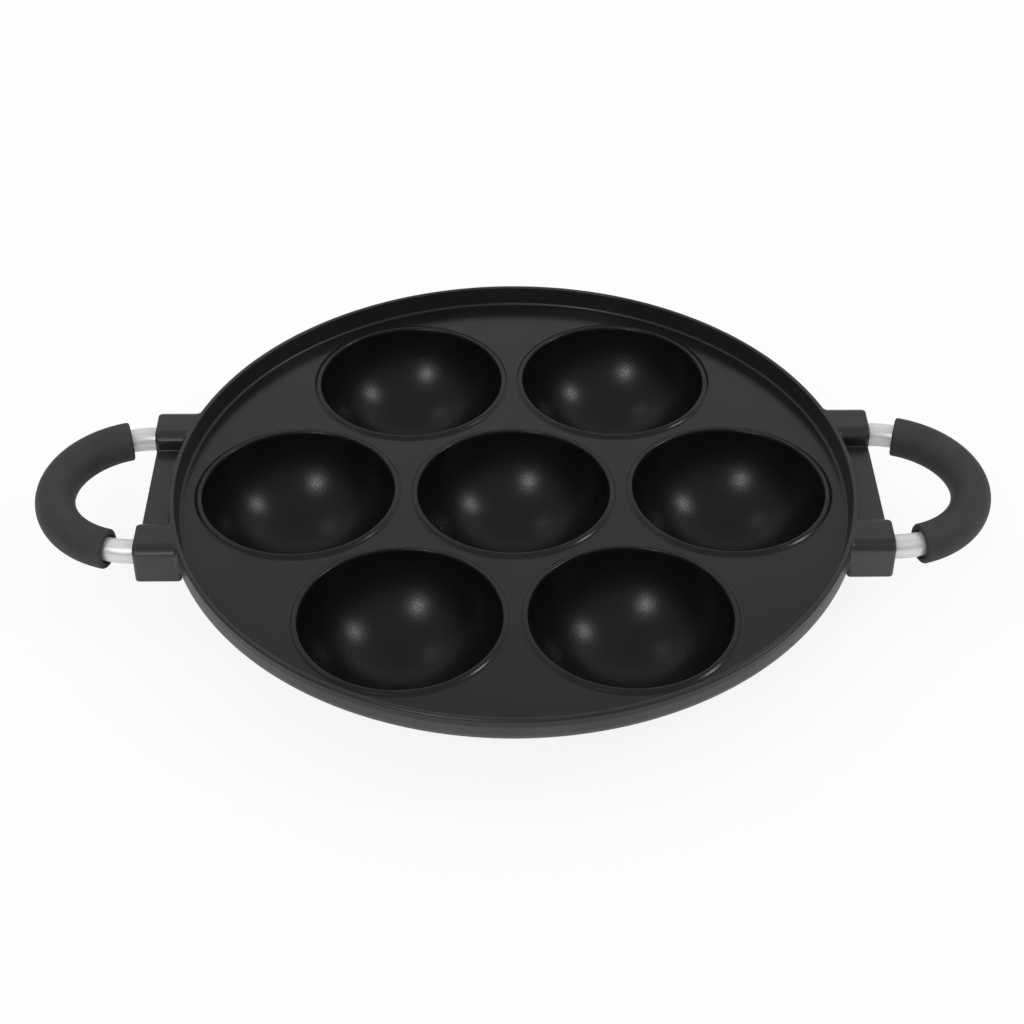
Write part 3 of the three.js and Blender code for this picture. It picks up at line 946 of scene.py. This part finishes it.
for name, azimuth, elevation, size, watts in LAMPS:
    turn, rise = math.radians(azimuth), math.radians(elevation)
    way = Vector((math.cos(rise) * math.cos(turn), math.cos(rise) * math.sin(turn), math.sin(rise)))
    lamp = bpy.data.objects.new(name, bpy.data.lights.new(name, "AREA"))
    lamp.data.shape = "DISK"
    lamp.data.size = size
    lamp.data.energy = watts
    lamp.location = way * LAMP_DISTANCE
    lamp.rotation_euler = (-way).to_track_quat("-Z", "Y").to_euler()
    scene.collection.objects.link(lamp)

world = bpy.data.worlds.new("studio")
scene.world = world
world.use_nodes = True
nodes, links = world.node_tree.nodes, world.node_tree.links
backdrop = nodes["Background"]
direction = nodes.new("ShaderNodeSeparateXYZ")
links.new(nodes.new("ShaderNodeTexCoord").outputs["Generated"], direction.inputs["Vector"])


def levels_by_height(levels):
    """The surround's brightness by how far up one looks: 0 is level and 1 is straight up."""
    ramp = nodes.new("ShaderNodeValToRGB")
    elements = ramp.color_ramp.elements
    while len(elements) < len(levels):
        elements.new(1)
    for element, (height, brightness) in zip(elements, levels):
        element.position = height
        element.color = (brightness, brightness, brightness, 1)
    links.new(direction.outputs["Z"], ramp.inputs["Fac"])
    return ramp.outputs["Color"]


def either(share, first, second):
    """The first colour, or the second where the share is 1. A Mix node's colours are inputs 6 and 7."""
    mix = nodes.new("ShaderNodeMix")
    mix.data_type = "RGBA"
    links.new(share, mix.inputs[0])
    links.new(first, mix.inputs[6])
    links.new(second, mix.inputs[7])
    return mix.outputs[2]


behind = nodes.new("ShaderNodeMapRange")
behind.interpolation_type = "SMOOTHSTEP"
behind.inputs["From Min"].default_value = WALL_BEHIND_EDGES[0]
behind.inputs["From Max"].default_value = WALL_BEHIND_EDGES[1]
links.new(direction.outputs["Y"], behind.inputs["Value"])
rays = nodes.new("ShaderNodeLightPath")
reflected = nodes.new("ShaderNodeMath")
reflected.operation = "MAXIMUM"
links.new(rays.outputs["Is Glossy Ray"], reflected.inputs[0])
links.new(rays.outputs["Is Transmission Ray"], reflected.inputs[1])
white = nodes.new("ShaderNodeRGB")
white.outputs[0].default_value = (1, 1, 1, 1)
room = levels_by_height(ROOM_LEVELS)
wall_behind = levels_by_height(WALL_BEHIND_LEVELS)
seen_in_gloss = either(behind.outputs[0], room, wall_behind)
surround = either(reflected.outputs[0], levels_by_height(SURROUND_LIGHT_LEVELS), seen_in_gloss)
links.new(either(rays.outputs["Is Camera Ray"], surround, white.outputs[0]), backdrop.inputs["Color"])

floor_shape = bmesh.new()
bmesh.ops.create_grid(floor_shape, x_segments=1, y_segments=1, size=FLOOR_HALF)
floor = as_object("floor", floor_shape)
floor_material = bpy.data.materials.new("white_floor")
floor_material.use_nodes = True
floor_nodes, floor_links = floor_material.node_tree.nodes, floor_material.node_tree.links
floor_nodes.remove(floor_nodes["Principled BSDF"])
paint = floor_nodes.new("ShaderNodeBsdfDiffuse")
paint.inputs["Color"].default_value = (*FLOOR_COLOUR, 1)
glow = floor_nodes.new("ShaderNodeEmission")
floor_rays = floor_nodes.new("ShaderNodeLightPath")
in_view = floor_nodes.new("ShaderNodeMath")
in_view.operation = "MULTIPLY"
in_view.inputs[1].default_value = FLOOR_GLOW
floor_links.new(floor_rays.outputs["Is Camera Ray"], in_view.inputs[0])
share = floor_nodes.new("ShaderNodeMath")
share.operation = "MULTIPLY_ADD"
share.inputs[1].default_value = FLOOR_GLOW_IN_GLOSS
floor_links.new(floor_rays.outputs["Is Glossy Ray"], share.inputs[0])
floor_links.new(in_view.outputs[0], share.inputs[2])
mix = floor_nodes.new("ShaderNodeMixShader")
floor_links.new(share.outputs[0], mix.inputs["Fac"])
floor_links.new(paint.outputs[0], mix.inputs[1])
floor_links.new(glow.outputs[0], mix.inputs[2])
floor_links.new(mix.outputs[0], floor_nodes["Material Output"].inputs["Surface"])
floor.data.materials.append(floor_material)

scene.view_settings.view_transform = "Standard"
